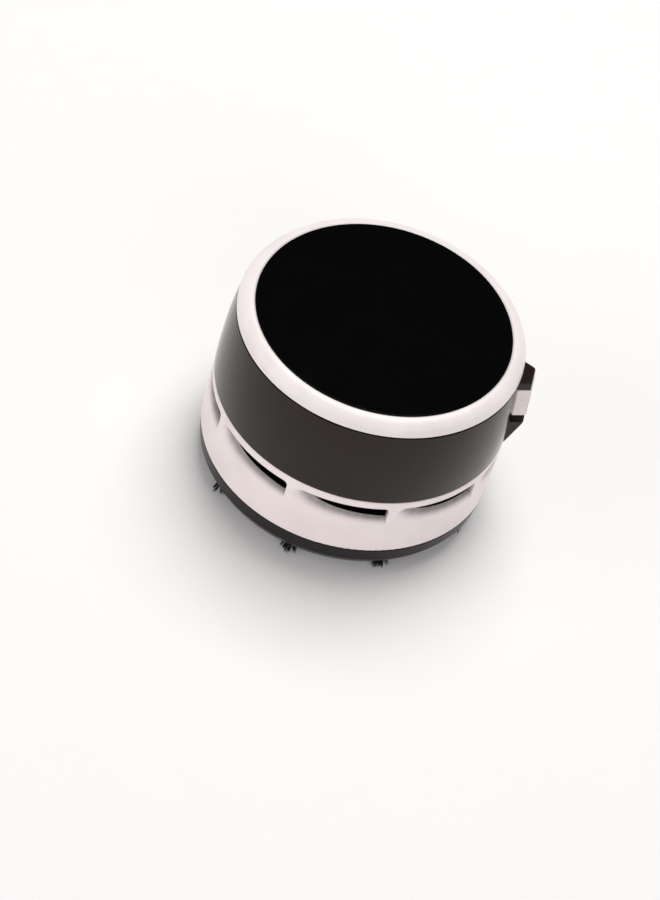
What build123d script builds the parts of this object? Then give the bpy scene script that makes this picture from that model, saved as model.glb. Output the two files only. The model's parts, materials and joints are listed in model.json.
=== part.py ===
from build123d import *
import math
import os

# A round desktop vacuum cleaner, modelled with its slide switch on +X and then turned.
# Lengths are in millimetres and angles in degrees. Heights grow from the bristle tips up.

# Body
body_d = 85.0
wall = 1.6
edge_round = 0.25
switch_turn = -45.0

# Clearances
move_gap = 0.3
seat_gap = 0.1
shaft_gap = 0.04
press_gap = 0.02
thread_gap = 0.05
overrun = 1.0

# Base cover
bristle_reach = 4.0
base_rim_h = 6.5
base_rim_t = 1.4
base_draft = 0.5
base_chamfer_h = 2.2
base_chamfer_in = 1.3
base_floor_t = 1.8
spigot_t = 1.6
spigot_step_in = 1.2
spigot_step_h = 8.2
spigot_h = 11.3
inlet_d = 26.0
throat_t = 1.5
throat_h = 4.5
ledge_reach = 2.3
ledge_h = 1.6
ledge_z = 2.8
lug_h = 1.5
lug_reach = 2.1
bayonet_count = 3
ledge_arc = 60.0
lug_arc = 36.0
base_twist = 50.0
stop_arc = 3.0
stop_gap_arc = 1.0

# Bristle tufts
tuft_count = 9
tuft_phase = 19.5
tuft_inset = 4.3
plug_d = 3.0
plug_h = 3.0
plug_recess = 0.6
tuft_wall = 1.0
strand_count = 40
strand_d = 0.24
strand_sides = 3
strand_root = 0.5
strand_field_share = 0.84
strand_splay_share = 2.5
golden_angle = 137.508

# Filter
filter_rim_t = 2.9
filter_rim_h = 1.6
filter_spoke_t = 1.6
filter_spoke_count = 6
filter_hub_d = 7.0
felt_t = 1.0
felt_inset = 0.6
seal_t = 0.5
seal_inset = 0.1

# Vent housing
seam_gap = 0.3
housing_h = 20.4
shelf_t = 1.2
shelf_w = 4.4
vent_count = 9
vent_phase = -5.15
vent_arc = 36.3
vent_z = 13.0
vent_h = 4.9
vent_depth = 8.1
vent_lead = 0.15
vent_soft_h = 1.9
vent_fade_corner = 2.5
vent_end_corner = 1.3
vent_station_shares = (0.0, 0.2, 0.5, 1.0)
vent_depth_shares = (0.03, 0.3, 0.58, 1.0)
middle_share = 0.5

# Fan
deck_t = 1.6
eye_d = 22.0
eye_lip_t = 1.2
eye_lip_h = 0.5
blade_count = 12
blade_t = 1.0
blade_gap = 0.8
blade_curve_r = 17.0
blade_inset = 0.5
impeller_d = 60.0
impeller_plate_t = 1.2
impeller_hub_d = 7.0
hub_floor_gap = 0.5

# Chassis
chassis_t = 2.0
chassis_drop = 1.2
column_d = 4.8
column_inset = 3.3
pad_h = 1.6
pad_d = 3.8
mount_count = 3
mount_turn = 60.0
column_turn = 18.5
tray_t = 1.6
saddle_place_share = 0.28
cup_t = 1.5
cup_h = 8.0
bracket_w = 9.0
bracket_t = 1.6

# Motor
motor_d = 20.0
motor_flats = 15.4
motor_can_h = 17.0
motor_bell_h = 3.4
motor_bell_inset = 0.3
motor_boss_d = 6.2
motor_boss_h = 1.8
shaft_d = 2.0
shaft_chamfer = 0.25
bush_d = 6.0
bush_depth = 1.4
bush_nose = 1.5
terminal_t = 0.5
terminal_w = 2.4
terminal_h = 2.4
terminal_place_share = 0.6

# Batteries and contacts
battery_d = 14.5
battery_l = 50.5
battery_edge_r = 0.8
nub_d = 5.5
nub_l = 1.1
battery_gap = 0.5
battery_top_gap = 3.4
contact_t = 0.4
contact_w = 9.0
contact_h = 9.0
leaf_reach = 2.2
leaf_w = 4.4
leaf_h = 7.0
tab_l = 2.6
tab_h = 2.4

# Body band
band_h = 25.0
band_taper = 1.4
band_bow = 0.2
lip_t = 1.2
lip_drop = 0.8
lip_h = 1.2
tab_t = 1.8
tab_d = 5.2

# Slide switch
guide_reach = 1.9
guide_lean_share = 0.085
guide_draft_share = 0.42
guide_base_w = 9.4
guide_edge_r = 0.8
guide_top_drop = 0.4
guide_bottom_z = 0.6
guide_ramp_h = 8.0
guide_seat_t = 1.6
guide_seat_w = 12.4
knob_h = 10.2
knob_drop = 3.0
knob_travel = 2.6
knob_proud = 0.3
knob_edge_r = 0.3
grip_count = 4
grip_pitch = 1.8
grip_w = 0.8
grip_depth = 0.4
stem_w = 3.4
stem_h = 3.6
stem_l = 4.2
switch_depth = 3.6
switch_w = 5.4
switch_h = 11.0
lever_w = 2.0
lever_h = 2.4
lever_bite = 1.5
lever_root = 1.7
pin_d = 1.0
pin_reach = 0.8
pin_place_share = 0.24

# Top cover and disc
shadow_gap = 0.4
ring_h = 4.0
ring_shoulder_in = 1.15
ring_shoulder_h = 2.8
ring_crown_in = 3.95
disc_d = 73.0
disc_t = 1.6
disc_gap = 0.1
disc_proud = 0.1
disc_edge_r = 0.15
rim_drop = 0.3
web_t = 1.6
skirt_t = 1.6
skirt_h = 3.4
skirt_gap = 0.5

# Screws
screw_d = 2.0
screw_l = 6.0
screw_head_d = 3.8
screw_head_h = 1.3
screw_drive_d = 1.6
screw_drive_h = 0.7
deck_screw_l = 2.6
motor_screw_l = 2.8
motor_screw_place_share = 0.66

# Wires
wire_d = 1.2
wire_bend_r = 1.4
wire_lead = 4.2

# Radii and heights that follow from the sizes above
body_r = body_d / 2
shell_r = body_r - wall
base_z = bristle_reach
base_top_z = base_z + base_rim_h
base_floor_z = base_z + base_floor_t
base_low_r = body_r - seat_gap - base_draft
housing_z = base_top_z + seam_gap
housing_top_z = housing_z + housing_h
ledge_r = shell_r - ledge_reach
spigot_r = ledge_r - move_gap - seat_gap
spigot_in_r = spigot_r - spigot_t
chamber_r = spigot_in_r - spigot_step_in
spigot_top_z = base_floor_z + spigot_h
step_z = base_floor_z + spigot_step_h
ledge_top_z = housing_z + ledge_z + ledge_h
lug_z = ledge_top_z + move_gap
lug_r = spigot_r + lug_reach
inlet_r = inlet_d / 2
throat_r = inlet_r + throat_t
throat_top_z = base_floor_z + throat_h
tuft_r = body_r - tuft_inset
hole_top_z = base_z + plug_recess + plug_h
seal_z = spigot_top_z + move_gap
deck_z = seal_z + seal_t + move_gap
deck_top_z = deck_z + deck_t
shelf_top_z = deck_top_z + shelf_t
deck_r = ledge_r - move_gap
shelf_r = shell_r - shelf_w
chassis_top_z = housing_top_z - chassis_drop
chassis_z = chassis_top_z - chassis_t
column_r = shell_r - column_inset
shaft_r = shaft_d / 2
bush_r = bush_d / 2
impeller_top_z = chassis_z - hub_floor_gap
plate_z = impeller_top_z - impeller_plate_t
blade_z = deck_top_z + blade_gap
motor_r = motor_d / 2
motor_top_z = chassis_top_z + motor_can_h
bell_top_z = motor_top_z + motor_bell_h
cup_r = motor_r + seat_gap + cup_t
band_top_z = housing_top_z + band_h
band_top_r = body_r - band_taper
ring_z = band_top_z + shadow_gap
ring_top_z = ring_z + ring_h
disc_r = disc_d / 2
disc_top_z = ring_top_z + disc_proud
disc_z = disc_top_z - disc_t
web_z = disc_z - web_t
skirt_r = band_top_r - wall - skirt_gap
skirt_in_r = skirt_r - skirt_t
skirt_z = ring_z - skirt_h
battery_r = battery_d / 2
battery_y = cup_r + battery_gap + battery_r
battery_z = web_z - battery_top_gap - battery_r
tray_x = battery_l / 2 + leaf_reach + contact_t
tray_low_y = battery_y - battery_r
tray_high_y = battery_y + battery_r
tray_r = skirt_in_r - move_gap
tab_z = chassis_top_z + pad_h
screw_r = screw_d / 2
head_r = screw_head_d / 2

# Places of the slide switch, measured from the band's top and outer face
knob_top_z = band_top_z - knob_drop
knob_z = knob_top_z - knob_h
window_top_z = knob_top_z + move_gap
window_z = knob_z - knob_travel - move_gap
pocket_x = shell_r
knob_back_x = pocket_x + move_gap
seat_x = pocket_x - guide_seat_t
stem_z = knob_z + (knob_h + knob_travel) / 2
stem_end_x = knob_back_x - stem_l
switch_front_x = stem_end_x - move_gap - seat_gap
switch_back_x = switch_front_x - switch_depth
bracket_x = switch_back_x - bracket_t
switch_mid_z = stem_z - knob_travel / 2
bracket_top_z = switch_mid_z + switch_h / 2


def disc(radius, low, high):
    """Upright round slab between two heights."""
    on_floor = (Align.CENTER, Align.CENTER, Align.MIN)
    return Pos(0, 0, low) * Cylinder(radius, high - low, align=on_floor)


def ring(outer, inner, low, high):
    """Upright ring between two heights."""
    return disc(outer, low, high) - disc(inner, low - overrun, high + overrun)


def sector(outer, inner, low, high, middle, arc):
    """Piece of a ring, given by the angle at its middle and the angle it spans."""
    on_floor = (Align.NONE, Align.NONE, Align.MIN)
    start = Pos(0, 0, low) * Rot(0, 0, middle - arc / 2)
    slab = start * Cylinder(outer, high - low, arc_size=arc, align=on_floor)
    return slab - disc(inner, low - overrun, high + overrun)


def block(low_x, high_x, low_y, high_y, low_z, high_z):
    """Box between two corners."""
    box = Box(high_x - low_x, high_y - low_y, high_z - low_z, align=Align.MIN)
    return Pos(low_x, low_y, low_z) * box


def around(shape, count, phase=0.0):
    """Copies of a shape, evenly turned about the upright axis."""
    return [Rot(0, 0, phase + k * 360 / count) * shape for k in range(count)]


def at(radius, height):
    """Point of a turned profile."""
    return Vector(radius, 0, height)


def turned(*edges):
    """Solid of revolution from the edges of a closed profile."""
    return revolve(make_face(list(edges)), Axis.Z)


def turned_outline(*points):
    """Solid of revolution from the corners of a closed profile."""
    return revolve(make_face(Polyline(*points, close=True)), Axis.Z)


def widest(shape, count):
    """Widest round edges of a turned shape."""
    return shape.edges().sort_by(SortBy.LENGTH)[-count:]


def screw(length):
    """Pan-head screw, its head resting on height zero, with a round drive recess."""
    head = disc(head_r, 0, screw_head_h)
    head = fillet(head.edges().group_by(Axis.Z)[-1], screw_head_h / 2)
    shank = disc(screw_r, -length, 0)
    return head + shank - disc(screw_drive_d / 2, screw_head_h - screw_drive_h, screw_head_h + overrun)


def wire_along(*points):
    """Round insulated wire along straight runs joined by bends."""
    path = FilletPolyline(*points, radius=wire_bend_r)
    return sweep(Plane(path @ 0, z_dir=path % 0) * Circle(wire_d / 2), path)


def top_disc():
    """Plain black disc that fills the top cover."""
    plate = disc(disc_r, disc_z, disc_top_z)
    return fillet(plate.edges().group_by(Axis.Z)[-1], disc_edge_r)


def top_cover():
    """White ring with a rounded shoulder, the web under the disc and the skirt in the band."""
    edge_r = disc_r + disc_gap
    out_low = at(band_top_r, ring_z)
    shoulder = at(band_top_r - ring_shoulder_in, ring_z + ring_shoulder_h)
    crown = at(band_top_r - ring_crown_in, ring_top_z)
    edge = at(edge_r, ring_top_z - rim_drop)
    rest = (at(edge_r, disc_z), at(0, disc_z), at(0, web_z), at(skirt_in_r, web_z), at(skirt_in_r, skirt_z),
            at(skirt_r, skirt_z), at(skirt_r, ring_z))
    cover = turned(ThreePointArc(out_low, shoulder, crown), Polyline(crown, edge, *rest, out_low))
    return fillet(widest(cover, 1), edge_round)


def band_side(inset):
    """Barrel side of the band, moved in by the inset."""
    low = at(body_r - inset, housing_top_z)
    middle = at(body_r - band_bow - inset, housing_top_z + band_h / 2)
    top = at(band_top_r - inset, band_top_z)
    return ThreePointArc(low, middle, top)


def band_core(inset):
    """Solid that fills the band up to its side, moved in by the inset."""
    side = band_side(inset)
    return turned(side, Polyline(side @ 1, at(0, band_top_z), at(0, housing_top_z), side @ 0))


def guide_face_x(height):
    """Distance of the guide's leaning face from the axis, at a height."""
    return body_r + guide_reach + (band_top_z - height) * guide_lean_share


def guide_half_w(x):
    """Half the drafted width of the guide and its knob, at a distance from the axis."""
    return guide_base_w / 2 - (x - pocket_x) * guide_draft_share


def guide_bar(inner_x, proud, low_z, high_z, edge_r):
    """Upright bar with drafted flanks and a leaning face, which the knob and its guide share."""
    under_z, over_z = low_z - overrun, high_z + overrun
    outer_x = guide_face_x(under_z) + proud
    inner_half, outer_half = guide_half_w(inner_x), guide_half_w(outer_x)
    outline = Polyline((inner_x, -inner_half), (outer_x, -outer_half), (outer_x, outer_half),
                       (inner_x, inner_half), close=True)
    bar = Pos(0, 0, low_z) * extrude(make_face(outline), high_z - low_z)
    end_x = outer_x + overrun
    front = Polyline(at(outer_x, under_z), at(end_x, under_z), at(end_x, over_z),
                     at(guide_face_x(over_z) + proud, over_z), close=True)
    bar -= extrude(make_face(front), guide_base_w, both=True)
    return fillet(bar.faces().sort_by(Axis.X)[-1].edges(), edge_r)


def switch_guide():
    """Raised bar on the band, sloped off at its lower end, in which the knob slides."""
    low_z = housing_top_z + guide_bottom_z
    bar = guide_bar(seat_x, 0, low_z, band_top_z - guide_top_drop, guide_edge_r)
    ramp_x = guide_face_x(low_z + guide_ramp_h)
    end_x = guide_face_x(low_z) + overrun
    end_z = low_z + (end_x - body_r) * guide_ramp_h / (ramp_x - body_r)
    slope = Polyline(at(body_r, low_z), at(end_x, low_z), at(end_x, end_z), close=True)
    bar -= extrude(make_face(slope), guide_base_w, both=True)
    return bar - band_core(wall / 2)


def body_band():
    """Glossy black barrel with its locating lip, screw tabs and switch guide."""
    outer, inner = band_side(0), band_side(wall)
    shell = turned(outer, Line(outer @ 1, inner @ 1), inner, Line(inner @ 0, outer @ 0))
    shell = fillet(widest(shell, 2), edge_round)
    lip_r = shell_r - seat_gap
    shell += ring(lip_r, lip_r - lip_t, housing_top_z - lip_drop, housing_top_z)
    shell += ring(body_r - wall / 2, lip_r - lip_t, housing_top_z, housing_top_z + lip_h)
    tab = Pos(column_r, 0, 0) * disc(tab_d / 2, tab_z, tab_z + tab_t)
    tab += block(column_r, body_r - wall / 2, -tab_d / 2, tab_d / 2, tab_z, tab_z + tab_t)
    tab -= Pos(column_r, 0, 0) * disc(screw_r + thread_gap, tab_z - overrun, tab_z + tab_t + overrun)
    shell += around(tab, mount_count, mount_turn)
    seat_half = guide_seat_w / 2
    seat = block(seat_x, body_r, -seat_half, seat_half, window_z - guide_seat_t, window_top_z)
    shell += seat & band_core(wall / 2)
    shell += switch_guide()
    window_half = guide_base_w / 2 + move_gap
    window_x = guide_face_x(window_z) + overrun
    shell -= block(pocket_x, window_x, -window_half, window_half, window_z, window_top_z)
    slot_half = stem_w / 2 + move_gap
    slot_low = stem_z - stem_h / 2 - knob_travel - move_gap
    slot_high = stem_z + stem_h / 2 + move_gap
    return shell - block(seat_x - overrun, pocket_x + overrun, -slot_half, slot_half, slot_low, slot_high)


def switch_knob():
    """White slide knob with finger grooves and the stem that drives the switch lever."""
    knob = guide_bar(knob_back_x, knob_proud, knob_z, knob_top_z, knob_edge_r)
    first = knob_z + (knob_h - (grip_count - 1) * grip_pitch - grip_w) / 2
    for k in range(grip_count):
        low = first + k * grip_pitch
        face_x = guide_face_x(low) + knob_proud
        knob -= block(face_x - grip_depth, face_x + overrun, -guide_base_w, guide_base_w, low, low + grip_w)
    stem = block(stem_end_x, knob_back_x, -stem_w / 2, stem_w / 2, stem_z - stem_h / 2, stem_z + stem_h / 2)
    half_w = lever_w / 2 + shaft_gap
    half_h = lever_h / 2 + shaft_gap
    socket_x = stem_end_x + lever_bite + shaft_gap
    socket = block(stem_end_x - overrun, socket_x, -half_w, half_w, stem_z - half_h, stem_z + half_h)
    return knob + stem - socket


def switch_lever():
    """Lever of the slide switch, held in the knob's stem."""
    low_x = switch_front_x - lever_root
    high_x = stem_end_x + lever_bite
    half_w, half_h = lever_w / 2, lever_h / 2
    return block(low_x, high_x, -half_w, half_w, stem_z - half_h, stem_z + half_h)


def switch_body():
    """Switch case with the slot of its lever and two pins through the bracket."""
    case = block(switch_back_x, switch_front_x, -switch_w / 2, switch_w / 2, switch_mid_z - switch_h / 2,
                 switch_mid_z + switch_h / 2)
    half_w = lever_w / 2 + move_gap
    low = stem_z - lever_h / 2 - knob_travel - move_gap
    high = stem_z + lever_h / 2 + move_gap
    slot_x = switch_front_x - lever_root - move_gap
    case -= block(slot_x, switch_front_x + overrun, -half_w, half_w, low, high)
    for side in (-1, 1):
        pin = Pos(bracket_x - pin_reach, 0, pin_height(side)) * Rot(0, 90, 0)
        case += pin * disc(pin_d / 2, 0, pin_reach + bracket_t)
    return case


def pin_height(side):
    """Height of the upper or lower switch pin."""
    return switch_mid_z + side * switch_h * pin_place_share


def vent_section(angle, depth):
    """Upright cut through a scooped vent: it leaves the wall softly and is deepest at its top edge."""
    low = housing_z + vent_z
    high = low + vent_h
    start = at(body_r + vent_lead, low - vent_soft_h)
    face = Bezier(start, at(body_r, low), at(body_r - depth, high))
    outside = Polyline(face @ 1, at(body_r + overrun, high), at(body_r + overrun, low - vent_soft_h), start)
    return Rot(0, 0, angle) * make_face([face, outside])


def vent_scoop():
    """Recess that fades in along the housing and ends abruptly, with rounded corners."""
    sections = []
    for station, depth in zip(vent_station_shares, vent_depth_shares):
        sections.append(vent_section((station - middle_share) * vent_arc, depth * vent_depth))
    half = body_r * math.sin(math.radians(vent_arc / 2))
    tall = vent_h + vent_soft_h
    outline = Plane.YZ * Pos(0, housing_z + vent_z + vent_h - tall / 2) * Rectangle(half + half, tall)
    corners = outline.vertices().sort_by(Axis.Y)
    outline = fillet(corners[2:], vent_end_corner)
    outline = fillet(outline.vertices().sort_by(Axis.Y)[:2], vent_fade_corner)
    return loft(sections) & extrude(outline, body_r + overrun)


def vent_housing():
    """White housing with nine scooped vents, the fan shelf, screw columns and bayonet ledges."""
    shell = fillet(widest(ring(body_r, shell_r, housing_z, housing_top_z), 2), edge_round)
    shell += ring(shell_r, shelf_r, deck_top_z, shelf_top_z)
    column = Pos(column_r, 0, 0) * disc(column_d / 2, deck_top_z, chassis_z)
    hole_depth = screw_l - chassis_t + overrun
    column -= Pos(column_r, 0, 0) * disc(screw_r + thread_gap, chassis_z - hole_depth, chassis_z + overrun)
    shell += around(column, mount_count, column_turn)
    ledge = sector(shell_r, ledge_r, housing_z + ledge_z, ledge_top_z, 0, ledge_arc)
    stop_middle = base_twist + (lug_arc + stop_arc) / 2 + stop_gap_arc - 180 / bayonet_count
    ledge += sector(shell_r, ledge_r, ledge_top_z, lug_z + lug_h, stop_middle, stop_arc)
    shell += around(ledge, bayonet_count, 180 / bayonet_count)
    screw_hole = disc(screw_r + thread_gap, deck_top_z - overrun, shelf_top_z + overrun)
    for hole in around(Pos(shelf_screw_r(), 0, 0) * screw_hole, mount_count, mount_turn):
        shell -= hole
    for vent in around(vent_scoop(), vent_count, vent_phase):
        shell -= vent
    return shell


def shelf_screw_r():
    """Distance of the deck screws from the axis."""
    return (shelf_r + deck_r) / 2


def base_cover():
    """Black base with a drafted rim, chamfered foot, suction throat, filter spigot and bayonet lugs."""
    rim_r = body_r - seat_gap
    shell = turned_outline(
        at(inlet_r, base_z), at(base_low_r - base_chamfer_in, base_z),
        at(base_low_r, base_z + base_chamfer_h), at(rim_r, base_top_z),
        at(rim_r - base_rim_t, base_top_z), at(rim_r - base_rim_t, base_floor_z),
        at(spigot_r, base_floor_z), at(spigot_r, spigot_top_z),
        at(spigot_in_r, spigot_top_z), at(spigot_in_r, step_z),
        at(chamber_r, step_z), at(chamber_r, base_floor_z),
        at(throat_r, base_floor_z), at(throat_r, throat_top_z), at(inlet_r, throat_top_z))
    shell = fillet(widest(shell, 2), edge_round)
    lug = sector(lug_r, spigot_r - spigot_t / 2, lug_z, lug_z + lug_h, 0, lug_arc)
    shell += around(lug, bayonet_count)
    socket_r = plug_d / 2 + seat_gap
    boss = Pos(tuft_r, 0, 0) * disc(socket_r + tuft_wall, base_floor_z, hole_top_z + tuft_wall)
    shell += around(boss, tuft_count, tuft_phase)
    socket = Pos(tuft_r, 0, 0) * disc(socket_r, base_z - overrun, hole_top_z)
    for hole in around(socket, tuft_count, tuft_phase):
        shell -= hole
    return shell


def bristle_tuft():
    """Round plug with strands that spread towards the floor, cut level there."""
    plug_z = base_z + plug_recess
    plug = disc(plug_d / 2, plug_z, plug_z + plug_h)
    field_r = plug_d / 2 * strand_field_share
    root_z = plug_z + strand_root
    strands = []
    for k in range(strand_count):
        reach = field_r * math.sqrt((k + 0.5) / strand_count)
        angle = math.radians(k * golden_angle)
        x, y = reach * math.cos(angle), reach * math.sin(angle)
        spread = strand_splay_share - 1
        root = Pos(x, y, root_z) * RegularPolygon(strand_d / 2, strand_sides)
        run = Vector(x * spread, y * spread, -root_z)
        strands.append(extrude(root, run.length, dir=run))
    return Pos(tuft_r, 0, 0) * (plug + strands)


def filter_frame():
    """Spoked ring that carries the felt on the step of the base's spigot."""
    low = step_z + move_gap
    high = low + filter_rim_h
    outer = spigot_in_r - move_gap
    frame = ring(outer, outer - filter_rim_t, low, high)
    spoke = block(0, outer - filter_rim_t / 2, -filter_spoke_t / 2, filter_spoke_t / 2, low, high)
    return frame + around(spoke, filter_spoke_count) + disc(filter_hub_d / 2, low, high)


def filter_felt():
    """Flat felt disc on the filter frame."""
    low = step_z + move_gap + filter_rim_h
    return disc(spigot_in_r - move_gap - felt_inset, low, low + felt_t)


def dust_seal():
    """Flat rubber ring between the spigot and the fan deck."""
    return ring(spigot_r - seal_inset, spigot_in_r + seal_inset, seal_z, seal_z + seal_t)


def fan_deck():
    """Round wall under the fan with its lipped eye and screw holes."""
    eye_r = eye_d / 2
    deck = disc(deck_r, deck_z, deck_top_z) + disc(eye_r + eye_lip_t, deck_top_z, deck_top_z + eye_lip_h)
    deck -= disc(eye_r, deck_z - overrun, deck_top_z + eye_lip_h + overrun)
    screw_hole = disc(screw_r + thread_gap, deck_z - overrun, deck_top_z + overrun)
    for hole in around(Pos(shelf_screw_r(), 0, 0) * screw_hole, mount_count, mount_turn):
        deck -= hole
    pocket = Pos(shelf_screw_r(), 0, 0) * disc(head_r + seat_gap, deck_z - overrun, deck_z + screw_head_h)
    for hole in around(pocket, mount_count, mount_turn):
        deck -= hole
    return deck


def deck_screws():
    """Three screws that hold the fan deck against the housing's shelf, heads sunk from below."""
    place = Pos(shelf_screw_r(), 0, deck_z + screw_head_h) * Rot(180, 0, 0)
    return Compound(children=around(place * screw(deck_screw_l), mount_count, mount_turn))


def impeller():
    """Fan wheel with backward-curved blades under a round plate."""
    wheel_r = impeller_d / 2
    tip_r = wheel_r - blade_inset
    root_r = eye_d / 2 + eye_lip_t + blade_gap
    curve = ring(blade_curve_r, blade_curve_r - blade_t, blade_z, plate_z)
    blade = Pos(blade_curve_r, 0, 0) * curve & ring(tip_r, root_r, blade_z, plate_z)
    blade = blade & block(0, tip_r, 0, tip_r, blade_z, plate_z)
    wheel = disc(wheel_r, plate_z, impeller_top_z) + disc(impeller_hub_d / 2, blade_z, impeller_top_z)
    wheel += around(blade, blade_count)
    return wheel - disc(shaft_r + press_gap, blade_z - overrun, impeller_top_z + overrun)


def motor_shaft():
    """Steel shaft from the fan into the motor."""
    shaft = disc(shaft_r, blade_z, motor_top_z)
    return chamfer(shaft.edges().group_by(Axis.Z)[0], shaft_chamfer)


def motor_case(radius, low, high):
    """Round motor section with two flats."""
    half = motor_flats / 2
    return disc(radius, low, high) & block(-radius, radius, -half, half, low, high)


def motor_can():
    """Motor can with its shaft bore and the seat of its bush."""
    can = motor_case(motor_r, chassis_top_z, motor_top_z)
    can -= disc(bush_r, chassis_top_z - overrun, chassis_top_z + bush_depth)
    can -= disc(shaft_r + shaft_gap, chassis_top_z, motor_top_z + overrun)
    hole_top = chassis_z + screw_head_h + motor_screw_l + seat_gap
    hole = disc(screw_r + thread_gap, chassis_top_z - overrun, hole_top)
    for side in (-1, 1):
        can -= Pos(side * motor_r * motor_screw_place_share, 0, 0) * hole
    return can


def motor_bush():
    """Bronze bush in the motor's front, with its nose through the chassis floor."""
    return ring(bush_r, shaft_r + shaft_gap, chassis_top_z - bush_nose, chassis_top_z + bush_depth)


def motor_end_bell():
    """Plastic end cap of the motor, with a raised bearing boss."""
    bell = motor_case(motor_r - motor_bell_inset, motor_top_z, bell_top_z)
    return bell + disc(motor_boss_d / 2, bell_top_z, bell_top_z + motor_boss_h)


def motor_terminals():
    """Two upright brass tabs on the end cap."""
    tabs = []
    for side in (-1, 1):
        x = side * motor_r * terminal_place_share
        tabs.append(block(x - terminal_t / 2, x + terminal_t / 2, -terminal_w / 2, terminal_w / 2, bell_top_z,
                          bell_top_z + terminal_h))
    return Compound(children=tabs)


def motor_screws():
    """Two screws from under the chassis floor into the motor, heads sunk."""
    height = chassis_z + screw_head_h
    screws = []
    for side in (-1, 1):
        place = Pos(side * motor_r * motor_screw_place_share, 0, height) * Rot(180, 0, 0)
        screws.append(place * screw(motor_screw_l))
    return Compound(children=screws)


def battery_tray():
    """Cradles, end walls and switch bracket that stand on the chassis floor."""
    tray = block(-tray_x - tray_t, -tray_x, -tray_high_y, tray_high_y, chassis_top_z, battery_z + battery_r)
    for side in (-1, 1):
        low_y, high_y = sorted((side * tray_low_y, side * tray_high_y))
        tray += block(tray_x, tray_x + tray_t, low_y, high_y, chassis_top_z, battery_z + battery_r)
        for place in (-1, 1):
            x = place * battery_l * saddle_place_share
            tray += block(x - tray_t / 2, x + tray_t / 2, low_y, high_y, chassis_top_z, battery_z)
    bracket_half = bracket_w / 2
    tray += block(bracket_x, switch_back_x, -bracket_half, bracket_half, chassis_top_z, bracket_top_z)
    return tray & disc(tray_r, chassis_top_z, band_top_z)


def chassis():
    """Round floor with the motor cup, battery tray, switch bracket and screw pads."""
    frame = disc(shell_r - move_gap, chassis_z, chassis_top_z)
    frame += ring(cup_r, motor_r + seat_gap, chassis_top_z, chassis_top_z + cup_h)
    frame += battery_tray()
    frame += around(Pos(column_r, 0, 0) * disc(pad_d / 2, chassis_top_z, tab_z), mount_count, mount_turn)
    for side in (-1, 1):
        bay = Pos(-tray_x, side * battery_y, battery_z) * Rot(0, 90, 0)
        frame -= bay * disc(battery_r + seat_gap, 0, tray_x + tray_x)
        pin = Pos(bracket_x - overrun, 0, pin_height(side)) * Rot(0, 90, 0)
        frame -= pin * disc(pin_d / 2 + thread_gap, 0, bracket_t + overrun)
        hole = Pos(side * motor_r * motor_screw_place_share, 0, 0)
        frame -= hole * disc(screw_r + thread_gap, chassis_z - overrun, chassis_top_z + overrun)
        frame -= hole * disc(head_r + seat_gap, chassis_z - overrun, chassis_z + screw_head_h)
    frame -= disc(bush_r + seat_gap, chassis_z - overrun, chassis_top_z + overrun)
    hole = Pos(column_r, 0, 0) * disc(screw_r + thread_gap, chassis_z - overrun, tab_z + overrun)
    driver = Pos(column_r, 0, 0) * disc(head_r + move_gap, chassis_top_z, battery_z + battery_r + overrun)
    cuts = around(hole, mount_count, column_turn) + around(hole, mount_count, mount_turn)
    for place in cuts + around(driver, mount_count, column_turn):
        frame -= place
    return frame


def housing_screws():
    """Three screws that hold the chassis on the housing's columns."""
    place = Pos(column_r, 0, chassis_top_z)
    return Compound(children=around(place * screw(screw_l), mount_count, column_turn))


def band_screws():
    """Three screws that hold the band's tabs on the chassis pads."""
    length = tab_t + pad_h + chassis_t
    return Compound(children=around(Pos(column_r, 0, tab_z + tab_t) * screw(length), mount_count, mount_turn))


def battery(side):
    """AA cell along X with its raised plus end towards the given side of X."""
    half = battery_l / 2
    can = disc(battery_r, -half, half - nub_l)
    can = fillet(can.edges().group_by(Axis.Z)[0] + can.edges().group_by(Axis.Z)[-1], battery_edge_r)
    cell = can + disc(nub_d / 2, half - nub_l, half)
    return Pos(0, side * battery_y, battery_z) * Rot(0, side * 90, 0) * cell


def contact_leaf(face_x, y, inward):
    """Sheet plate on an end wall with a bowed leaf towards the cell."""
    half_h, half_w = contact_h / 2, contact_w / 2
    low_x, high_x = sorted((face_x, face_x + inward * contact_t))
    plate = block(low_x, high_x, y - half_w, y + half_w, battery_z - half_h, battery_z + half_h)
    start = face_x + inward * contact_t / 2
    tip = face_x + inward * (contact_t + leaf_reach)
    ends = (battery_z - leaf_h / 2, battery_z + leaf_h / 2)
    outer = ThreePointArc(at(start, ends[0]), at(tip, battery_z), at(start, ends[1]))
    inner = ThreePointArc(at(start, ends[0] + contact_t), at(tip - inward * contact_t, battery_z),
                          at(start, ends[1] - contact_t))
    strip = make_face([outer, inner, Line(outer @ 0, inner @ 0), Line(outer @ 1, inner @ 1)])
    return plate + Pos(0, y, 0) * extrude(strip, leaf_w / 2, both=True)


def contact_with_tab(side):
    """Contact on the switch side with a solder tab towards the motor."""
    tab_y = side * (tray_low_y - tab_l)
    low_y, high_y = sorted((tab_y, side * battery_y))
    tab_z_mid = battery_z + contact_h / 2 - tab_h / 2
    tab = block(tray_x - contact_t, tray_x, low_y, high_y, tab_z_mid - tab_h / 2, tab_z_mid + tab_h / 2)
    return contact_leaf(tray_x, side * battery_y, -1) + tab


def contact_bridge():
    """Sheet that joins the two cells at the far end."""
    low_z, high_z = battery_z - tab_h / 2, battery_z + tab_h / 2
    strip = block(-tray_x, -tray_x + contact_t, -battery_y, battery_y, low_z, high_z)
    return strip + contact_leaf(-tray_x, battery_y, 1) + contact_leaf(-tray_x, -battery_y, 1)


def solder_point(side):
    """Free end of a contact's solder tab, on its inner face."""
    y = side * (tray_low_y - tab_l / 2)
    return Vector(tray_x - contact_t, y, battery_z + contact_h / 2 - tab_h / 2)


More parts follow.
